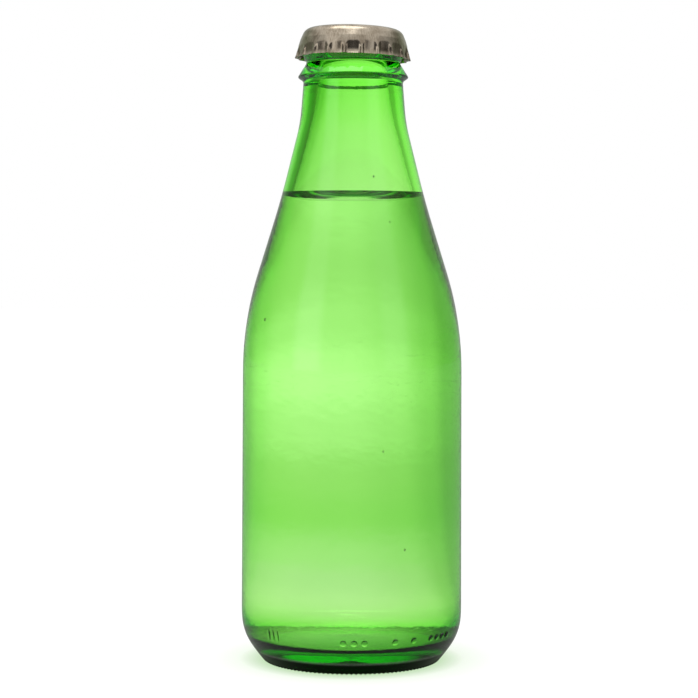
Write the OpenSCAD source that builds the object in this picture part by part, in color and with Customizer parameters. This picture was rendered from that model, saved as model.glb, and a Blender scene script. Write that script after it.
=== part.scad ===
// Small green glass bottle of mineral water, closed by a crimped crown cap.
// Millimetres, +Z up, origin at the centre of the ring that the bottle stands on.

/* [Bottle body] */
// Outside diameter of the ring that the bottle stands on
stand_d = 43.8; // [41:0.1:50]
// Inside diameter of that ring
stand_in_d = 39.0; // [32:0.1:40]
// Outside diameter just above the heel
heel_d = 54.9; // [50:0.1:66]
// Height of the heel corner before it is rounded
heel_h = 6.9; // [5.8:0.1:8.4]
// Rounding of the heel
heel_round = 13; // [8:0.5:14]
// Outside diameter where the shoulder begins
shoulder_d = 54.3; // [50:0.1:66]
// Height from the heel corner to the shoulder corner
body_h = 77.5; // [60:0.5:100]
// Rounding of the shoulder
shoulder_round = 82; // [40:1:90]
// Push-up of the underside at its centre
punt_h = 3.2; // [2:0.1:4]

/* [Shoulder and neck] */
// Outside diameter where the slope steepens into the throat
throat_d = 35.9; // [30:0.1:43]
// Height from the shoulder corner to the throat corner
shoulder_h = 29.7; // [24:0.1:36]
// Rounding at the throat
throat_round = 200; // [60:5:220]
// Outside diameter at the foot of the neck
neck_foot_d = 26.2; // [25.4:0.1:29]
// Height from the throat corner to the foot of the neck
throat_h = 19.3; // [16:0.1:24]
// Rounding at the foot of the neck
neck_round = 42; // [20:1:60]
// Outside diameter of the neck just under the ring
neck_d = 24.6; // [24:0.1:26]
// Height of the neck up to the ring
neck_h = 10.4; // [8:0.1:13]

/* [Finish under the crown] */
// Outside diameter of the ring below the crown
ring_d = 27.5; // [26.5:0.1:30]
// Height of the ring's underside
ring_under_h = 0.8; // [0.6:0.1:1.2]
// Height of the ring's upper flank
ring_flank_h = 3.3; // [2.6:0.1:4]
// Outside diameter of the waist between ring and bead
waist_d = 23.3; // [22.6:0.1:24]
// Height of the waist
waist_h = 0.5; // [0.4:0.1:1.2]
// Outside diameter of the bead that the crown grips
bead_d = 26.3; // [25.6:0.1:27]
// Height of the bead's underside
bead_under_h = 2.6; // [2.2:0.1:3.2]
// Height of the bead's widest band
bead_band_h = 1.0; // [0.8:0.1:1.4]
// Outside diameter of the sealing lip before it is rounded
lip_d = 23.2; // [22.6:0.1:24]
// Height from the bead to the top of the lip
lip_h = 3.5; // [3:0.1:4.2]
// Diameter of the mouth
bore_d = 16.5; // [14:0.1:17]
// Length of the parallel mouth below the lip's rounding
bore_h = 8.0; // [6:0.1:10]

/* [Glass thickness] */
// Wall of the body
body_wall = 2.1; // [1.7:0.05:2.6]
// Wall at the throat
throat_wall = 2.4; // [2:0.05:2.9]
// Wall at the foot of the neck
neck_foot_wall = 2.9; // [2.4:0.05:3.5]
// Glass at the centre of the base
base_wall = 3.6; // [3:0.1:4.4]
// How much the inside floor falls from its centre to the wall
floor_fall = 2.6; // [2:0.1:3.2]
// Rounding of the inside where floor meets wall
floor_round = 11; // [8:0.5:13]

/* [Water] */
// How far the water's surface lies below the top of the lip
headspace_h = 41.5; // [33:0.5:60]

/* [Crown cap] */
// Number of pleats round the skirt
pleat_count = 21; // [18:1:24]
// How far the pleats stand out from the skirt at its rim
pleat_rim_out = 0.95; // [0.6:0.05:1.3]
// How far behind the skirt's face the crest of a pleat begins
pleat_top_in = 0.5; // [0.3:0.05:0.8]
// Height of a pleat above the rim
pleat_h = 4.6; // [3.6:0.1:5]
// Radius of a pleat at the rim
pleat_rim_r = 0.85; // [0.6:0.05:1.05]
// Radius of a pleat where it runs out at the top
pleat_top_r = 0.35; // [0.2:0.05:0.6]
// How far the top reaches out past the lip, before its edge is rounded
crown_over_lip = 0.3; // [0.1:0.05:0.6]
// Rounding of the top's edge
crown_round = 3.8; // [3:0.1:4.2]
// How far the skirt hangs below the bead's widest band
skirt_under_h = 1.8; // [1.2:0.1:2.2]
// How much the top stands proud at its centre
crown_dome_h = 0.4; // [0.2:0.1:0.8]
// Thickness of the tinplate
sheet_t = 0.25; // [0.2:0.01:0.3]
// Clearance between the bead and the crimped skirt
crimp_clear = 0.1; // [0.05:0.01:0.2]
// Liner between the lip and the top of the crown
seal_t = 0.65; // [0.5:0.05:0.9]
// Liner inside the mouth, where nothing presses it
liner_t = 0.35; // [0.25:0.05:0.5]
// How far the liner reaches out past the lip, before that is rounded
liner_over_lip = 0.1; // [0:0.05:0.2]

/* [Hidden] */
// Segments of a full turn, and of each rounded corner of an outline
$fn = 96;
ARC_STEPS = 10;
// Small roundings of moulded glass edges
FOOT_ROUND = 0.8;
PUNT_ROUND = 6;
RING_ROUND = 0.2;
ROOT_ROUND = 0.3;
FLANK_ROUND = 0.5;
BEAD_ROUND = 0.8;
LIP_ROUND = 2.4;
MOUTH_ROUND = 1.2;
// Width of the slope between the bearing ring and the push-up
PUNT_FLANK_W = 4.5;
// How much wider than the mouth the liner's thin centre is
LINER_STEP = 0.4;
// Margin by which a cutting body runs past what it cuts
CUT = 1;

// Heights of the outline's corners, from the table up
heel_z = heel_h;
shoulder_z = heel_z + body_h;
throat_z = shoulder_z + shoulder_h;
neck_foot_z = throat_z + throat_h;
ring_root_z = neck_foot_z + neck_h;
ring_z = ring_root_z + ring_under_h;
waist_z = ring_z + ring_flank_h;
bead_root_z = waist_z + waist_h;
bead_z = bead_root_z + bead_under_h;
bead_top_z = bead_z + bead_band_h;
lip_z = bead_top_z + lip_h;
bore_z = lip_z - MOUTH_ROUND - bore_h;
fill_z = lip_z - headspace_h;

// The crown sits on its liner, and the liner on the lip, and the skirt is crimped round the bead
crown_top_z = lip_z + seal_t + sheet_t;
crown_top_r = lip_d / 2 + crown_over_lip;
rim_z = bead_z - skirt_under_h;
grip_z = bead_top_z + crimp_clear;
grip_r = bead_d / 2 + crimp_clear;
grip_round = BEAD_ROUND + crimp_clear;
skirt_r = grip_r + sheet_t;
crown_lean = atan2(skirt_r - crown_top_r, crown_top_z - grip_z);

// Inside of the glass
body_in_r = heel_d / 2 - body_wall;
shoulder_in_r = shoulder_d / 2 - body_wall;
throat_in_r = throat_d / 2 - throat_wall;
neck_foot_in_r = neck_foot_d / 2 - neck_foot_wall;
floor_z = punt_h + base_wall;

// Unit vector from a to b, in the plane of an outline
function toward(a, b) = (b - a) / norm(b - a);

// Points of the arc of radius r that rounds corner c between its neighbours a and b
function rounded_corner(a, c, b, r) =
    let (
        u = toward(c, a),
        v = toward(c, b),
        half = acos(max(-1, min(1, u * v))) / 2,
        reach = min(r / tan(half), norm(a - c) * 0.98, norm(b - c) * 0.98),
        fit_r = reach * tan(half),
        centre = c + toward([0, 0], u + v) * fit_r / sin(half),
        p = c + u * reach - centre,
        q = c + v * reach - centre,
        start = atan2(p.y, p.x),
        turn = (atan2(q.y, q.x) - start + 540) % 360 - 180
    )
    [for (i = [0 : ARC_STEPS]) centre + fit_r * [cos(start + turn * i / ARC_STEPS), sin(start + turn * i / ARC_STEPS)]];

// An outline given as [radius, height, rounding] corners, with each rounding drawn as an arc
function outline(corners) = [
    for (i = [0 : len(corners) - 1])
        let (c = corners[i], p = [c.x, c.y])
        each (i == 0 || i == len(corners) - 1 || c.z == 0)
            ? [p]
            : rounded_corner([corners[i - 1].x, corners[i - 1].y], p, [corners[i + 1].x, corners[i + 1].y], c.z)
];

// The points of a path before its coordinate on axis (0 or 1) first passes limit, and the point where it does
function first_past(path, axis, limit, i = 0) = path[i][axis] >= limit ? i : first_past(path, axis, limit, i + 1);
function cut_path(path, axis, limit) =
    let (k = first_past(path, axis, limit), a = path[k - 1], b = path[k])
    concat([for (i = [0 : k - 1]) path[i]], [a + (b - a) * (limit - a[axis]) / (b[axis] - a[axis])]);

function reversed(list) = [for (i = [len(list) - 1 : -1 : 0]) list[i]];

// From the centre of the underside out over the heel and up to the top of the lip
glass_outside = outline([
    [0, punt_h, 0],
    [stand_in_d / 2 - PUNT_FLANK_W, punt_h, PUNT_ROUND],
    [stand_in_d / 2, 0, 0],
    [stand_d / 2, 0, FOOT_ROUND],
    [heel_d / 2, heel_z, heel_round],
    [shoulder_d / 2, shoulder_z, shoulder_round],
    [throat_d / 2, throat_z, throat_round],
    [neck_foot_d / 2, neck_foot_z, neck_round],
    [neck_d / 2, ring_root_z, ROOT_ROUND],
    [ring_d / 2, ring_z, RING_ROUND],
    [waist_d / 2, waist_z, FLANK_ROUND],
    [waist_d / 2, bead_root_z, FLANK_ROUND],
    [bead_d / 2, bead_z, BEAD_ROUND],
    [bead_d / 2, bead_top_z, BEAD_ROUND],
    [lip_d / 2, lip_z, LIP_ROUND],
    [bore_d / 2 + MOUTH_ROUND, lip_z, 0]
]);

// From the centre of the floor out to the wall and up to the top of the parallel mouth
glass_inside = outline([
    [0, floor_z, 0],
    [body_in_r, floor_z - floor_fall, floor_round],
    [shoulder_in_r, shoulder_z, shoulder_round],
    [throat_in_r, throat_z, throat_round],
    [neck_foot_in_r, neck_foot_z, neck_round],
    [bore_d / 2, bore_z, 0],
    [bore_d / 2, lip_z - MOUTH_ROUND, 0]
]);

mouth_edge = [
    for (i = [1 : ARC_STEPS - 1])
        let (a = 180 - 90 * i / ARC_STEPS)
        [bore_d / 2 + MOUTH_ROUND * (1 + cos(a)), lip_z - MOUTH_ROUND * (1 - sin(a))]
];

module glass_bottle()
{
    color([0.30, 0.72, 0.20, 0.6])
        rotate_extrude()
            polygon(concat(glass_outside, reversed(mouth_edge), reversed(glass_inside)));
}

// The water touches the glass up to the fill line
water_wall = cut_path(glass_inside, 1, fill_z);

module mineral_water()
{
    color([0.75, 0.92, 0.95, 0.5])
        rotate_extrude()
            polygon(concat(water_wall, [[0, fill_z]]));
}

// Outside of the crown between its pleats, moved inwards by t
function crown_outline(t) = outline([
    [0, crown_top_z + crown_dome_h - t, 0],
    [crown_top_r - t * tan(45 - crown_lean / 2), crown_top_z - t, crown_round - t],
    [skirt_r - t, grip_z + (sheet_t - t) * tan(crown_lean / 2), grip_round + sheet_t - t],
    [skirt_r - t, rim_z, 0]
]);

module crown_solid(t, foot_z)
{
    rotate_extrude()
        polygon(concat(crown_outline(t), [[skirt_r - t, foot_z], [0, foot_z]]));
}

// One pleat leans out from the rounded edge of the top to the rim, and its crest is a straight line
module pleat()
{
    crest_top = [skirt_r - pleat_top_in, rim_z + pleat_h];
    crest_rim = [skirt_r + pleat_rim_out, rim_z];
    crest_lean = atan2(crest_rim.x - crest_top.x, crest_top.y - crest_rim.y);
    outward = [cos(crest_lean), sin(crest_lean)];
    top = crest_top - pleat_top_r * outward;
    rim = crest_rim - pleat_rim_r * outward;
    lean = atan2(rim.x - top.x, top.y - rim.y);
    long = norm(rim - top);
    flare = (pleat_rim_r - pleat_top_r) / long;
    translate([top.x, 0, top.y])
        rotate([0, 180 - lean, 0])
            cylinder(h = long + CUT, r1 = pleat_top_r, r2 = pleat_rim_r + flare * CUT, $fn = 24);
}

module crown_shell()
{
    color([0.55, 0.50, 0.44])
        difference() {
            union() {
                crown_solid(0, rim_z);
                for (i = [0 : pleat_count - 1])
                    rotate([0, 0, -90 + (i + 0.5) * 360 / pleat_count])
                        pleat();
            }
            crown_solid(sheet_t, rim_z - 2 * CUT);
            translate([0, 0, rim_z - 2 * CUT])
                cylinder(h = 2 * CUT, r = skirt_r + pleat_rim_out + CUT);
        }
}

// The liner fills the space between the lip's rounded top and the crown, and is thinner over the open mouth
liner_r = lip_d / 2 + liner_over_lip;
liner_top = cut_path(crown_outline(sheet_t), 0, liner_r);
liner_under = reversed(cut_path(reversed(glass_outside), 0, liner_r));
liner_bore_r = bore_d / 2 - LINER_STEP;

module crown_liner()
{
    color([0.82, 0.80, 0.74])
        rotate_extrude()
            polygon(concat(
                liner_top,
                liner_under,
                [[liner_bore_r, lip_z], [liner_bore_r, lip_z + seal_t - liner_t]],
                [[0, crown_top_z + crown_dome_h - sheet_t - liner_t]]
            ));
}

glass_bottle();
mineral_water();
crown_shell();
crown_liner();
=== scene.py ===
"""A small green glass bottle of mineral water under a crown cap, on a white table."""

import math

import bpy
from mathutils import Matrix, Vector, noise


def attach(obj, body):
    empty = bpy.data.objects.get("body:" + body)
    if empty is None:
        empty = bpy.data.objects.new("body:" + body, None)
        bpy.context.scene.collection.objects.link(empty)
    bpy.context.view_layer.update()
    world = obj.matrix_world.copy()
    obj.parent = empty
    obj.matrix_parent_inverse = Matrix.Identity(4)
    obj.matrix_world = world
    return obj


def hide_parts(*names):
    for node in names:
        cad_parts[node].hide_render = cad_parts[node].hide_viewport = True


MM = 0.001

# The glass, as in the CAD model: corners of the outline as radius, height and rounding, in mm
OUTSIDE = [
    (0, 3.2, 0),
    (15.0, 3.2, 6),
    (19.5, 0, 0.25),
    (21.9, 0, 0.8),
    (27.45, 6.9, 13),
    (27.15, 84.4, 82),
    (17.95, 114.1, 200),
    (13.1, 133.4, 42),
    (12.3, 143.6, 1.1),
    (13.75, 144.6, 0.35),
    (11.65, 147.9, 0.8),
    (11.65, 148.4, 0.8),
    (13.15, 151.0, 0.8),
    (13.15, 152.0, 0.8),
    (11.6, 155.5, 2.4),
    (8.25, 155.5, 1.2),
    (8.25, 150, 0),
]
INSIDE = [
    (8.25, 150, 0),
    (8.25, 146.3, 50),
    (10.2, 133.4, 42),
    (15.55, 114.1, 200),
    (25.05, 84.4, 82),
    (25.35, 5.3, 6.5),
    (0, 6.8, 0),
]
GLASS_COLUMNS = 240
LONGEST_STEP = 2.5

# The water
FILL_Z = 112.4
MENISCUS_H = 3.4
MENISCUS_REACH = 3.6
WATER_BITE = 0.03

# The crown: outline of the uncrimped bell, and the panels pressed into it
PLEATS = 21
PLEAT_COLUMNS = 20
BELL = [
    (0, 156.8, 0),
    (11.9, 156.4, 3.8),
    (13.05, 153.7, 3),
    (14.45, 149.2, 0),
]
SHEET_T = 0.25
CROWN_TILT = 1.2

# The photograph's camera
FRAME_PX = 698
FOCAL_PX = 1927.7
CAMERA_DISTANCE = 480
CAMERA_HEIGHT = 94
CAMERA_X = -0.82
CAMERA_PITCH = 1.99
CAMERA_ROLL = 0.19
SENSOR_MM = 36

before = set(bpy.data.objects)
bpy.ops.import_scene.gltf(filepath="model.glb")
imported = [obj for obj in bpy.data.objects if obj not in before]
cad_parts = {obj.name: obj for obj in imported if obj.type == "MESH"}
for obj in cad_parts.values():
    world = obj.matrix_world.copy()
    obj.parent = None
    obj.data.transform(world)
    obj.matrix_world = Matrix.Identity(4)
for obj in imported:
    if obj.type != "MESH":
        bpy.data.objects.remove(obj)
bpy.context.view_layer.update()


def select_only(piece):
    """Makes one object the only selected one, and the active one."""
    bpy.ops.object.select_all(action="DESELECT")
    piece.select_set(True)
    bpy.context.view_layer.objects.active = piece


def edit(piece):
    select_only(piece)
    bpy.ops.object.mode_set(mode="EDIT")
    bpy.ops.mesh.select_all(action="SELECT")


def leave_edit():
    bpy.ops.object.mode_set(mode="OBJECT")


def rounded(before, corner, after, radius, steps=12):
    """Points of the arc that rounds a corner of an outline."""
    u = (before - corner).normalized()
    v = (after - corner).normalized()
    half = math.acos(max(-1, min(1, u.dot(v)))) / 2
    reach = min(radius / math.tan(half), (before - corner).length * 0.49, (after - corner).length * 0.49)
    radius = reach * math.tan(half)
    centre = corner + (u + v).normalized() * radius / math.sin(half)
    start = corner + u * reach - centre
    end = corner + v * reach - centre
    turn = start.angle_signed(end)
    return [centre + Matrix.Rotation(-turn * i / steps, 2) @ start for i in range(steps + 1)]


def outline(corners, longest=LONGEST_STEP):
    """An outline from its corners, with arcs at the corners and no step longer than longest."""
    points = [Vector(c[:2]) for c in corners]
    path = [points[0]]
    for i in range(1, len(points) - 1):
        if corners[i][2]:
            path += rounded(points[i - 1], points[i], points[i + 1], corners[i][2])
        else:
            path.append(points[i])
    path.append(points[-1])
    fine = [path[0]]
    for a, b in zip(path, path[1:]):
        parts = max(1, math.ceil((b - a).length / longest))
        fine += [a.lerp(b, k / parts) for k in range(1, parts + 1)]
    return fine


def relaxed(path, step, rounds):
    """The same outline in even steps, with every change of curvature eased out."""
    even = [path[0]]
    left = step
    for a, b in zip(path, path[1:]):
        length = (b - a).length
        while left < length:
            even.append(a.lerp(b, left / length))
            left += step
        left -= length
    even.append(path[-1])
    for _ in range(rounds):
        inner = [(a + 2 * b + c) / 4 for a, b, c in zip(even, even[1:], even[2:])]
        even = [even[0]] + inner + [even[-1]]
    return even


def turned(name, path, columns):
    """A round piece: a point is drawn along the outline and spun round the axis."""
    bpy.ops.object.select_all(action="DESELECT")
    bpy.ops.mesh.primitive_plane_add(size=MM)
    piece = bpy.context.object
    piece.name = piece.data.name = name
    edit(piece)
    bpy.ops.mesh.merge(type="CENTER")
    places = [Vector((p.x * MM, 0, p.y * MM)) for p in path]
    bpy.ops.transform.translate(value=places[0])
    for a, b in zip(places, places[1:]):
        bpy.ops.mesh.extrude_vertices_move(TRANSFORM_OT_translate={"value": b - a})
    bpy.ops.mesh.select_all(action="SELECT")
    bpy.ops.mesh.spin(steps=columns, angle=math.tau, center=(0, 0, 0), axis=(0, 0, 1))
    bpy.ops.mesh.select_all(action="SELECT")
    bpy.ops.mesh.remove_doubles(threshold=1e-6)
    bpy.ops.mesh.normals_make_consistent(inside=False)
    leave_edit()
    return piece


def smooth(piece, angle=40):
    select_only(piece)
    bpy.ops.object.shade_smooth_by_angle(angle=math.radians(angle))


def apply_modifier(piece, kind, **settings):
    """Adds a modifier, sets it up and applies it."""
    select_only(piece)
    modifier = piece.modifiers.new(kind.lower(), kind)
    for key, value in settings.items():
        setattr(modifier, key, value)
    bpy.ops.object.modifier_apply(modifier=modifier.name)


def radius_at(path, z):
    """Radius of an outline at height z, where it climbs."""
    for a, b in zip(path, path[1:]):
        if min(a.y, b.y) <= z <= max(a.y, b.y) and a.y != b.y:
            return a.x + (b.x - a.x) * (z - a.y) / (b.y - a.y)
    raise ValueError(f"no point at height {z}")


def make_camera():
    data = bpy.data.cameras.new("photo_camera")
    data.sensor_width = SENSOR_MM
    data.lens = FOCAL_PX / FRAME_PX * SENSOR_MM
    data.clip_start = 0.01
    camera = bpy.data.objects.new("photo_camera", data)
    place = Matrix.Translation(Vector((CAMERA_X, -CAMERA_DISTANCE, CAMERA_HEIGHT)) * MM)
    pitch = Matrix.Rotation(math.radians(90 - CAMERA_PITCH), 4, "X")
    roll = Matrix.Rotation(math.radians(CAMERA_ROLL), 4, "Z")
    camera.matrix_world = place @ pitch @ roll
    bpy.context.collection.objects.link(camera)
    bpy.context.scene.camera = camera


class Wire:
    """A value on a shader's wire. Sums and products of wires and numbers add their Math nodes."""

    def __init__(self, shader, socket):
        self.shader = shader
        self.socket = socket

    def maths(self, operation, *values):
        return self.shader.node("ShaderNodeMath", {"operation": operation}, values)

    def __add__(self, other):
        return self.maths("ADD", self, other)

    def __radd__(self, other):
        return self.maths("ADD", other, self)

    def __sub__(self, other):
        return self.maths("SUBTRACT", self, other)

    def __rsub__(self, other):
        return self.maths("SUBTRACT", other, self)

    def __mul__(self, other):
        return self.maths("MULTIPLY", self, other)

    def __rmul__(self, other):
        return self.maths("MULTIPLY", other, self)

    def __truediv__(self, other):
        return self.maths("DIVIDE", self, other)

    def __pow__(self, other):
        return self.maths("POWER", self, other)


class Shader:
    """The nodes of one material, or of the world."""

    def __init__(self, tree):
        self.tree = tree
        tree.nodes.clear()

    def node(self, kind, settings=None, values=(), out=0):
        """Adds a node with its settings, feeds its sockets and returns one of its outputs."""
        made = self.tree.nodes.new(kind)
        for key, value in (settings or {}).items():
            if key == "stops":
                self.set_stops(made.color_ramp, value)
            else:
                setattr(made, key, value)
        for key, value in values.items() if isinstance(values, dict) else enumerate(values):
            if isinstance(value, Wire):
                self.tree.links.new(value.socket, made.inputs[key])
            elif value is not None:
                made.inputs[key].default_value = value
        return Wire(self, made.outputs[out]) if made.outputs else made

    def set_stops(self, ramp, stops):
        """Sets a ramp's stops, each a place and either a grey level or a colour."""
        ramp.interpolation = "EASE"
        while len(ramp.elements) < len(stops):
            ramp.elements.new(0.5)
        for element, (place, level) in zip(ramp.elements, stops):
            element.position = place
            element.color = (*level, 1) if isinstance(level, tuple) else (level, level, level, 1)

    def place(self):
        """Object coordinates, in millimetres."""
        coordinates = self.node("ShaderNodeTexCoord", out="Object")
        return self.node("ShaderNodeVectorMath", {"operation": "SCALE"}, {0: coordinates, "Scale": 1000})

    def parts(self, vector):
        split = self.node("ShaderNodeSeparateXYZ", None, [vector])
        return [Wire(self, split.socket.node.outputs[i]) for i in range(3)]

    def noise(self, vector, scale, detail=2, roughness=0.5, distortion=0):
        values = {
            "Vector": vector,
            "Scale": scale,
            "Detail": detail,
            "Roughness": roughness,
            "Distortion": distortion,
        }
        return self.node("ShaderNodeTexNoise", None, values, out="Fac")

    def stretched_noise(self, vector, stretch, scale, detail, roughness):
        """Noise whose scale is multiplied by stretch along each axis."""
        mapped = self.node("ShaderNodeMapping", None, {0: vector, "Scale": stretch})
        return self.noise(mapped, scale, detail, roughness)

    def ramp(self, value, stops):
        return self.node("ShaderNodeValToRGB", {"stops": stops}, [value])

    def step(self, value, start, end, before=0, after=1):
        """Goes smoothly from before to after while the value goes from start to end."""
        settings = {"interpolation_type": "SMOOTHSTEP"}
        return self.node("ShaderNodeMapRange", settings, [value, start, end, before, after])

    def band(self, value, low, high, edge):
        """1 between low and high, and 0 outside them, with soft edges."""
        return self.step(value, low, low + edge) * self.step(value, high - edge, high, 1, 0)

    def mix(self, share, first, second, blend="MIX"):
        """A colour between two colours, or their product."""
        settings = {"data_type": "RGBA", "blend_type": blend}
        return self.node("ShaderNodeMix", settings, {0: share, 6: first, 7: second}, out=2)

    def bump(self, height, strength, distance_mm):
        values = {"Strength": strength, "Distance": distance_mm * MM, "Height": height}
        return self.node("ShaderNodeBump", None, values)


def material(name):
    made = bpy.data.materials.new(name)
    made.use_nodes = True
    return made, Shader(made.node_tree)


# How much red, green and blue light the glass takes, per metre
GLASS_TAKES = (185, 14, 320)
GLASS_IOR = 1.52
WATER_IOR = 1.333
CLEAR = (1, 1, 1, 1)
# A height and a radius under everything, in mm, where a band has no lower edge
BELOW_ALL = -9
# The stippled underside and the ring that the bottle stands on
UNDERSIDE_TOP = 3.6
UNDERSIDE_R = 22.3
# Painted shade on that ring: a near-black, mirror-like band that stands in for the shadow where the bottle
# stands
FOOT_SHADE_IN = 15
FOOT_SHADE_OUT = 26
FOOT_SHADE_TOP = 3.6
FOOT_SHADE_COLOUR = (0.004, 0.025, 0.004, 1)
# Where bottles rub against each other, from and to these heights
BODY_WEAR = (58, 92)
HEEL_WEAR = (7, 16)
# The water is rough from this much below its surface, up to a height above everything
ROUGH_BELOW = 1
ROUGH_TOP = 200


def green_glass():
    """Clear green glass: its colour comes from how far light goes in it, except for a near-black band of
    painted shade on its foot.
    """
    made, s = material("green_glass")
    place = s.place()
    x, y, z = s.parts(place)
    ripple = s.noise(place, 0.11, 2) + 0.3 * s.noise(place, 0.6, 2)
    wear = s.band(z, *BODY_WEAR, 8) + s.band(z, *HEEL_WEAR, 4)
    streaks = s.stretched_noise(place, (1, 1, 3), 0.5, 6, 0.7)
    scuffs = s.ramp(streaks, [(0.56, 0), (0.68, 1)]) * wear
    away = s.node("ShaderNodeMath", {"operation": "SQRT"}, [x * x + y * y])
    underside = s.band(z, BELOW_ALL, UNDERSIDE_TOP, 0.3) * s.band(away, BELOW_ALL, UNDERSIDE_R, 0.3)
    roughness = 0.02 + 0.25 * scuffs + 0.5 * underside
    # foot: painted shade on the ring that the bottle stands on, made near-black and mirror-like by its
    # colour and Metallic
    foot = s.band(away, FOOT_SHADE_IN, FOOT_SHADE_OUT, 0.4) * s.band(z, BELOW_ALL, FOOT_SHADE_TOP, 1.2)
    values = {
        "Base Color": s.mix(foot, CLEAR, FOOT_SHADE_COLOUR),
        "Metallic": 0.9 * foot,
        "Roughness": roughness,
        "IOR": GLASS_IOR,
        "Transmission Weight": 1,
        "Normal": s.bump(ripple, 0.5, 0.08),
    }
    glass = s.node("ShaderNodeBsdfPrincipled", None, values)
    most = max(GLASS_TAKES)
    colour = [1 - t / most for t in GLASS_TAKES] + [1]
    inside = s.node("ShaderNodeVolumeAbsorption", None, {"Color": colour, "Density": most})
    s.node("ShaderNodeOutputMaterial", None, {"Surface": glass, "Volume": inside})
    return made


def water():
    """Clear water, a little rough at its surface to soften the line."""
    made, s = material("water")
    x, y, z = s.parts(s.place())
    roughness = 0.07 * s.band(z, FILL_Z - ROUGH_BELOW, ROUGH_TOP, 0.8)
    values = {"Base Color": CLEAR, "Roughness": roughness, "IOR": WATER_IOR, "Transmission Weight": 1}
    surface = s.node("ShaderNodeBsdfPrincipled", None, values)
    s.node("ShaderNodeOutputMaterial", None, {"Surface": surface})
    return made


def tinplate():
    """Bare tinplate, with blotches, fine scratches and streaks drawn down the skirt."""
    made, s = material("tinplate")
    place = s.place()
    grain = s.stretched_noise(place, (2.6, 2.6, 0.3), 1.1, 4, 0.65)
    blotch = s.noise(place, 0.35, 3)
    fine = s.noise(place, 9, 3)
    worn = s.ramp(0.4 * grain + 0.6 * blotch, [(0.34, 0), (0.66, 1)])
    tone = s.mix(worn, (0.31, 0.25, 0.18, 1), (0.60, 0.52, 0.41, 1))
    roughness = 0.12 + 0.12 * blotch + 0.06 * grain
    height = 0.7 * grain + 0.3 * fine
    values = {"Base Color": tone, "Metallic": 1, "Roughness": roughness, "Normal": s.bump(height, 0.3, 0.03)}
    surface = s.node("ShaderNodeBsdfPrincipled", None, values)
    s.node("ShaderNodeOutputMaterial", None, {"Surface": surface})
    return made


def liner_plastic():
    made, s = material("liner_plastic")
    place = s.place()
    mottle = s.noise(place, 1.2, 3)
    tone = s.mix(mottle, (0.70, 0.68, 0.61, 1), (0.84, 0.82, 0.76, 1))
    grain = s.bump(s.noise(place, 6, 2), 0.3, 0.03)
    values = {"Base Color": tone, "Roughness": 0.45 + 0.15 * mottle, "Normal": grain}
    surface = s.node("ShaderNodeBsdfPrincipled", None, values)
    s.node("ShaderNodeOutputMaterial", None, {"Surface": surface})
    return made


WHITE = (1, 1, 1, 1)
# The backdrop's tone seen through the glass, by the direction round the axis in degrees from straight
# behind. It is painted shade and green for the glass alone, with dark green bands to either side, while the
# camera sees the backdrop white.
BACKDROP_PAINTED_SHADE = [
    (-180, (0.90, 0.92, 0.88)),
    (-100, (0.86, 0.90, 0.82)),
    (-66, (0.24, 0.36, 0.17)),
    (-50, (0.14, 0.26, 0.08)),
    (-32, (0.17, 0.38, 0.08)),
    (-21, (0.43, 0.66, 0.30)),
    (-9, (0.78, 0.92, 0.72)),
    (2, (0.98, 1.05, 0.98)),
    (12, (1.10, 1.09, 1.14)),
    (22, (1.10, 1.09, 1.14)),
    (31, (0.90, 1.02, 0.84)),
    (46, (0.48, 0.60, 0.40)),
    (62, (0.42, 0.54, 0.34)),
    (95, (0.86, 0.90, 0.82)),
    (180, (0.90, 0.92, 0.88)),
]
# The same, as the glass and the crown mirror it: a dim room in front with a window on each side
MIRROR_TONE = [
    (-180, 0.05),
    (-152, 0.08),
    (-140, 1.10),
    (-124, 1.10),
    (-110, 0.12),
    (-85, (0.16, 0.17, 0.15)),
    (-50, (0.22, 0.26, 0.20)),
    (-20, (0.44, 0.47, 0.43)),
    (20, (0.44, 0.47, 0.43)),
    (48, (0.24, 0.28, 0.22)),
    (75, (0.12, 0.13, 0.11)),
    (112, 0.08),
    (126, 0.70),
    (140, 0.70),
    (154, 0.08),
    (180, 0.05),
]
# And the light from above
MIRROR_ABOVE = (0.80, 0.80, 0.80, 1)
# The table's tone seen through the glass, by its distance from the axis in millimetres: painted shade and
# tint, near-black under the bottle as its shadow, green at the middle and darker further back
TABLE_PAINTED_SHADE_THROUGH_GLASS = [
    (0, (0.05, 0.42, 0.02)),
    (7, (0.05, 0.40, 0.02)),
    (11, (0.002, 0.010, 0.002)),
    (22.5, (0.002, 0.010, 0.002)),
    (24, (0.12, 0.34, 0.08)),
    (27, (0.62, 0.74, 0.60)),
    (34, (0.92, 0.80, 0.98)),
    (80, (0.90, 0.74, 1.0)),
    (140, (0.70, 0.65, 0.78)),
    (185, (0.58, 0.66, 0.55)),
    (290, (0.36, 0.59, 0.20)),
    (440, (0.45, 0.62, 0.31)),
    (700, (0.68, 0.79, 0.61)),
    (1200, (0.90, 0.96, 0.88)),
    (2400, (1.0, 1.0, 1.0)),
]
# How pale the table is to the lamps, by distance, with a painted shadow under the bottle, where it is nearly
# black
TABLE_PALE_WITH_SHADOW = [
    (0, 0.02),
    (22.5, 0.02),
    (26, 0.25),
]
# The green light that falls through the bottle on the table round its foot, by distance
TABLE_GREEN = [
    (0, (0.5, 0.8, 0.4)),
    (22.5, (0.5, 0.8, 0.4)),
    (25, (0.86, 0.96, 0.80)),
    (33, (1, 1, 1)),
]
TABLE_REACH = 2400
# How bright the lamps make the table, which its glow to the camera leaves room for
TABLE_LIT = 0.12
TABLE_MIRRORED = 0.15
TABLE_R_M = 6
# Just under the ring that the bottle stands on
TABLE_Z = -0.02
LAMP_PLACE = (-0.12, -0.16, 0.95)
LAMP_AIM = (0, 0, 0.08)
LAMP_SIZE = (0.7, 0.5)
LAMP_WATTS = 2.2


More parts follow.
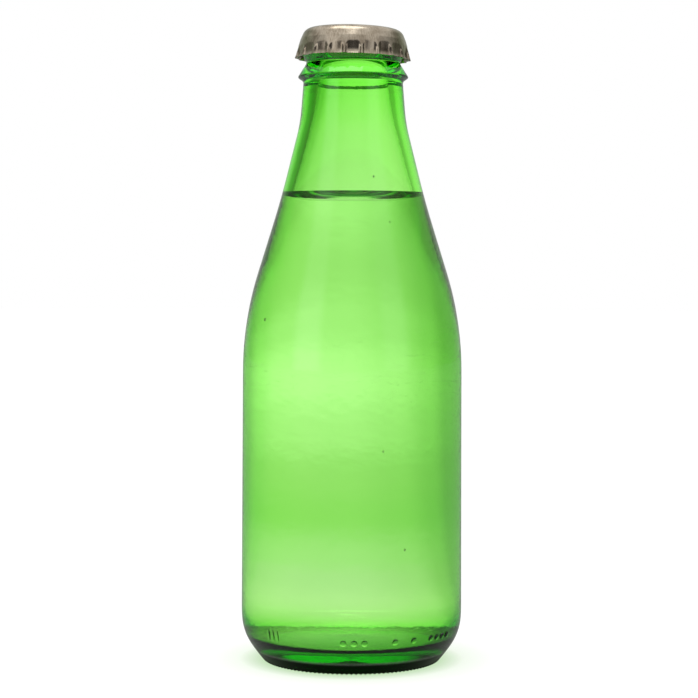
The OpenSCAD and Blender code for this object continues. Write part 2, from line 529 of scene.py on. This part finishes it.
def tone_round(s, x, y, tones):
    """A tone by the direction round the axis."""
    turn = s.node("ShaderNodeMath", {"operation": "ARCTAN2"}, [x, y])
    stops = [(0.5 + degrees / 360, tone) for degrees, tone in tones]
    return s.ramp(turn / math.tau + 0.5, stops)


def tone_away(s, away, tones):
    """A tone by the distance from the axis, in mm."""
    return s.ramp(away / TABLE_REACH, [(r / TABLE_REACH, tone) for r, tone in tones])


def light_path(s, *names):
    node = s.node("ShaderNodeLightPath").socket.node
    return [Wire(s, node.outputs[name]) for name in names]


def make_world():
    world = bpy.data.worlds.new("studio")
    world.use_nodes = True
    bpy.context.scene.world = world
    s = Shader(world.node_tree)
    x, y, z = s.parts(s.node("ShaderNodeTexCoord", out="Generated"))
    seen, through = light_path(s, "Is Camera Ray", "Is Transmission Ray")
    above = s.step(z, 0.35, 0.75)
    mirrored = s.mix(above, tone_round(s, x, y, MIRROR_TONE), MIRROR_ABOVE)
    # Transmission rays see the painted shade and green of the backdrop, not white
    unseen = s.mix(through, mirrored, tone_round(s, x, y, BACKDROP_PAINTED_SHADE))
    level = s.mix(seen, unseen, WHITE)
    background = s.node("ShaderNodeBackground", None, {"Color": level, "Strength": 1})
    s.node("ShaderNodeOutputWorld", None, {"Surface": background})


def make_floor():
    bpy.ops.object.select_all(action="DESELECT")
    place = (0, 0, TABLE_Z * MM)
    bpy.ops.mesh.primitive_circle_add(vertices=96, radius=TABLE_R_M, fill_type="NGON", location=place)
    floor = bpy.context.object
    floor.name = "table"
    made, s = material("white_table")
    place = s.place()
    x, y, z = s.parts(place)
    away = s.node("ShaderNodeVectorMath", {"operation": "LENGTH"}, [place], out="Value")
    seen, glossy, through = light_path(s, "Is Camera Ray", "Is Glossy Ray", "Is Transmission Ray")
    mirrored = TABLE_MIRRORED * glossy * (1 - through)
    strength = (1 - TABLE_LIT) * seen + mirrored + through
    # The matt part is nearly black under the bottle, as its painted shadow
    matt = s.node("ShaderNodeBsdfDiffuse", None, {"Color": tone_away(s, away, TABLE_PALE_WITH_SHADOW)})
    painted_backdrop_shade = tone_round(s, x, y, BACKDROP_PAINTED_SHADE)
    # Through the glass the table shows its painted shade and tint, darkened further by the backdrop's
    # painted shade
    painted_shade_through_glass = s.mix(1, tone_away(s, away, TABLE_PAINTED_SHADE_THROUGH_GLASS), painted_backdrop_shade, "MULTIPLY")
    colour = s.mix(through, tone_away(s, away, TABLE_GREEN), painted_shade_through_glass)
    glow = s.node("ShaderNodeEmission", None, {"Color": colour, "Strength": strength})
    both = s.node("ShaderNodeAddShader", None, [matt, glow])
    s.node("ShaderNodeOutputMaterial", None, {"Surface": both})
    floor.data.materials.append(made)


def make_lamp():
    data = bpy.data.lights.new("soft_box", "AREA")
    data.shape = "RECTANGLE"
    data.size, data.size_y = LAMP_SIZE
    data.energy = LAMP_WATTS
    lamp = bpy.data.objects.new("soft_box", data)
    eye = Vector(LAMP_PLACE)
    aim = Vector(LAMP_AIM)
    lamp.matrix_world = Matrix.Translation(eye) @ (eye - aim).to_track_quat("Z", "Y").to_matrix().to_4x4()
    bpy.context.collection.objects.link(lamp)


# Raised marks on the heel: dots and three bars, by their turn from the front in degrees
DOT_Z = 8.5
DOT_R = 0.8
DOT_OUT = 0.38
DOT_TURNS = [-4.2, 1.3, 6.6, 22.7, 33.5, 45, 49.5, 54, 58.5]
BAR_TURNS = [-47, -44, -41]
BAR_Z = 9.1
BAR_OUT = 0.2
BAR_W = 0.45
BAR_H = 1.4
# The outlines are put in even steps and eased this many times
EASING = 6
INNER_STEP = 1.3
OUTER_STEP = 1.0
# The outer one is eased from the edge of the ring it stands on up to this height
EASED_TOP = 70


def raised_mark(path, turn, z, width, height, out=DOT_OUT):
    """A flattened ball sunk in the heel, at an angle from the front."""
    r = radius_at(path, z)
    bpy.ops.object.select_all(action="DESELECT")
    bpy.ops.mesh.primitive_uv_sphere_add(segments=24, ring_count=12, radius=1)
    ball = bpy.context.object
    angle = math.radians(turn - 90)
    lean = math.atan2(radius_at(path, z + 1) - radius_at(path, z - 1), 2)
    ball.matrix_world = (
        Matrix.Rotation(angle, 4, "Z")
        @ Matrix.Translation(Vector((r, 0, z)) * MM)
        @ Matrix.Rotation(lean, 4, "Y")
        @ Matrix.Diagonal((out * MM, width * MM, height * MM, 1))
    )
    bpy.ops.object.transform_apply(location=True, rotation=True, scale=True)
    return ball


def inner_wall():
    return relaxed(outline(INSIDE), INNER_STEP, EASING)


def outer_wall():
    """The outline with the heel eased into the body, so that it shows no line where its rounding ends."""
    path = outline(OUTSIDE)
    first = next(i for i, p in enumerate(path) if p.x > 22 and p.y > 0.6)
    last = next(i for i, p in enumerate(path) if p.y > EASED_TOP)
    return path[:first] + relaxed(path[first:last + 1], OUTER_STEP, EASING) + path[last + 1:]


# Small bubbles caught in the glass: turn from the front in degrees, height, and radius
SEEDS = [
    (18, 119.3, 0.20),
    (27.5, 108.3, 0.16),
    (-55, 84.8, 0.30),
    (16, 54, 0.20),
    (28, 30.4, 0.24),
    (100, 70, 0.20),
    (-105, 58, 0.18),
]
SEED_DEPTH = 0.9
SEED_TALL = 1.4
# Every bubble lies where the outer wall is wider than this
OUTER_WALL_R = 12.5


def make_glass():
    outside = outer_wall()
    inside = inner_wall()
    glass = turned("bottle_glass", outside + inside[1:], GLASS_COLUMNS)
    knurl(glass)
    climb = [p for p in outside if 0 < p.y < 84]
    marks = [raised_mark(climb, turn, DOT_Z, DOT_R, DOT_R) for turn in DOT_TURNS]
    marks += [raised_mark(climb, turn, BAR_Z, BAR_W, BAR_H, BAR_OUT) for turn in BAR_TURNS]
    for mark in marks:
        apply_modifier(glass, "BOOLEAN", operation="UNION", solver="MANIFOLD", object=mark)
        bpy.data.objects.remove(mark)
    add_seeds(glass, outside)
    smooth(glass, 50)
    return glass


def add_seeds(glass, outside):
    """Adds the bubbles to the glass's mesh as small hollows."""
    wall = [p for p in outside if p.x > OUTER_WALL_R]
    bubbles = []
    for turn, z, size in SEEDS:
        bpy.ops.object.select_all(action="DESELECT")
        bpy.ops.mesh.primitive_ico_sphere_add(subdivisions=2, radius=1)
        bubble = bpy.context.object
        bubble.matrix_world = (
            Matrix.Rotation(math.radians(turn - 90), 4, "Z")
            @ Matrix.Translation(Vector((radius_at(wall, z) - SEED_DEPTH, 0, z)) * MM)
            @ Matrix.Diagonal((size * MM, size * MM, size * SEED_TALL * MM, 1))
        )
        bpy.ops.object.transform_apply(location=True, rotation=True, scale=True)
        edit(bubble)
        bpy.ops.mesh.flip_normals()
        leave_edit()
        bubbles.append(bubble)
    select_only(glass)
    for bubble in bubbles:
        bubble.select_set(True)
    bpy.ops.object.join()


KNURL_DEPTH = 0.3
KNURL_TOP = 0.35
KNURL_IN = 19.7
KNURL_OUT = 22.2


def knurl(glass):
    """Raises every other column of the foot, so that the bottle stands on small bars."""
    for vertex in glass.data.vertices:
        r = math.hypot(vertex.co.x, vertex.co.y) / MM
        column = round(math.atan2(vertex.co.y, vertex.co.x) / math.tau * GLASS_COLUMNS)
        if vertex.co.z < KNURL_TOP * MM and KNURL_IN < r < KNURL_OUT and column % 2:
            vertex.co.z += KNURL_DEPTH * MM


WATER_COLUMNS = 192
# The floor lies below this height, and the water bites downwards there too
FLOOR_TOP = 7
# Width of the curved rim of the water's surface, and its steps, closer together at the glass
RIM_W = 7
RIM_STEPS = 14


def bitten(p):
    """A point of the inside, moved a hair into the glass so that no gap shows."""
    x = max(p.x + WATER_BITE, 0) if p.x > 0 else 0
    return Vector((x, p.y - (WATER_BITE if p.y < FLOOR_TOP else 0)))


def make_water():
    inside = inner_wall()
    wall = [p for p in inside if p.y < FILL_Z + MENISCUS_H]
    wall.reverse()
    top = FILL_Z + MENISCUS_H
    wall.append(Vector((radius_at(inside, top), top)))
    wet = [bitten(p) for p in wall]
    reach = wet[-1].x
    surface = []
    for i in range(1, RIM_STEPS + 1):
        away = RIM_W * (i / RIM_STEPS) ** 1.5
        surface.append(Vector((reach - away, FILL_Z + MENISCUS_H * math.exp(-away / MENISCUS_REACH))))
    surface.append(Vector((0, surface[-1].y)))
    piece = turned("water_body", wet + surface, WATER_COLUMNS)
    smooth(piece, 50)
    return piece


# The panels between the pleats: distance from the axis, and how far it changes to the right and by chance
PANEL_R = 13.52
PANEL_LEAN = 0.08
PANEL_UNEVEN = 0.05
# How far a panel's sides rise to its pleats
PANEL_RISE = 1.3
# How far its foot flares out, and from what height
PANEL_FLARE = 0.4
FLARE_H = 1.6
# How softly a panel meets the bell
BLEND_MM = 0.08
# Nothing nearer the axis than this is pressed
PRESS_FROM = 11
BELL_STEP = 0.22
# Height of the point that the crown leans about
TILT_Z = 154


def press_pleats(crown):
    """Presses a flat panel into the bell between each pair of pleats, deeper on the right."""
    foot = BELL[-1][1]
    for vertex in crown.data.vertices:
        r = math.hypot(vertex.co.x, vertex.co.y) / MM
        z = vertex.co.z / MM
        if r < PRESS_FROM:
            continue
        turn = math.atan2(vertex.co.x, -vertex.co.y)
        place = turn * PLEATS / math.tau + 0.5
        phase = place % 1 * 2 - 1
        uneven = PANEL_UNEVEN * noise.noise(Vector((math.floor(place) % PLEATS * 3.7, 0.4, 0.2))) * 2
        flare = PANEL_FLARE * max(0, 1 - (z - foot) / FLARE_H) ** 2
        base = max(PANEL_R - PANEL_LEAN, PANEL_R - PANEL_LEAN * math.sin(turn) + uneven)
        panel = base + flare + PANEL_RISE * abs(phase) ** 8
        gap = max(BLEND_MM - abs(r - panel), 0) / BLEND_MM
        pressed = min(r, panel) - gap * gap * BLEND_MM / 4
        vertex.co.x *= pressed / r
        vertex.co.y *= pressed / r


def make_crown():
    crown = turned("crown_sheet", outline(BELL, BELL_STEP), PLEATS * PLEAT_COLUMNS)
    press_pleats(crown)
    apply_modifier(crown, "SOLIDIFY", thickness=SHEET_T * MM, offset=-1, use_even_offset=True)
    tilt(crown)
    smooth(crown, 35)
    return crown


def tilt(piece):
    """The crown was crimped a little askew: it leans to the right about the top of the lip."""
    pivot = Matrix.Translation(Vector((0, 0, TILT_Z)) * MM)
    piece.data.transform(pivot @ Matrix.Rotation(math.radians(CROWN_TILT), 4, "Y") @ pivot.inverted())


# The liner, with the ribs that seal on the lip
LINER = [
    (0, 156.5, 0),
    (11.2, 156.1, 1),
    (11.6, 155.6, 0.2),
    (11.4, 155.62, 0.1),
    (11.0, 155.75, 0.1),
    (10.4, 155.55, 0.15),
    (9.8, 155.75, 0.15),
    (9.2, 155.55, 0.15),
    (8.4, 155.95, 0.3),
    (7.6, 156.05, 0.3),
    (0, 156.2, 0),
]


def make_liner():
    liner = turned("liner_disc", outline(LINER, 1.5), 96)
    tilt(liner)
    smooth(liner, 50)
    return liner


make_camera()
make_world()
make_floor()
make_lamp()

glass = make_glass()
glass.data.materials.clear()
glass.data.materials.append(green_glass())
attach(glass, "bottle")
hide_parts("glass_bottle")

drink = make_water()
drink.data.materials.append(water())
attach(drink, "bottle")
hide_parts("mineral_water")

crown = make_crown()
crown.data.materials.append(tinplate())
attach(crown, "crown_cap")
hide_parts("crown_shell")

liner = make_liner()
liner.data.materials.append(liner_plastic())
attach(liner, "crown_cap")
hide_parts("crown_liner")

scene = bpy.context.scene
scene.view_settings.view_transform = "Standard"
# Light goes through many walls in the thick base
scene.cycles.max_bounces = 24
scene.cycles.glossy_bounces = 16
scene.cycles.transmission_bounces = 24
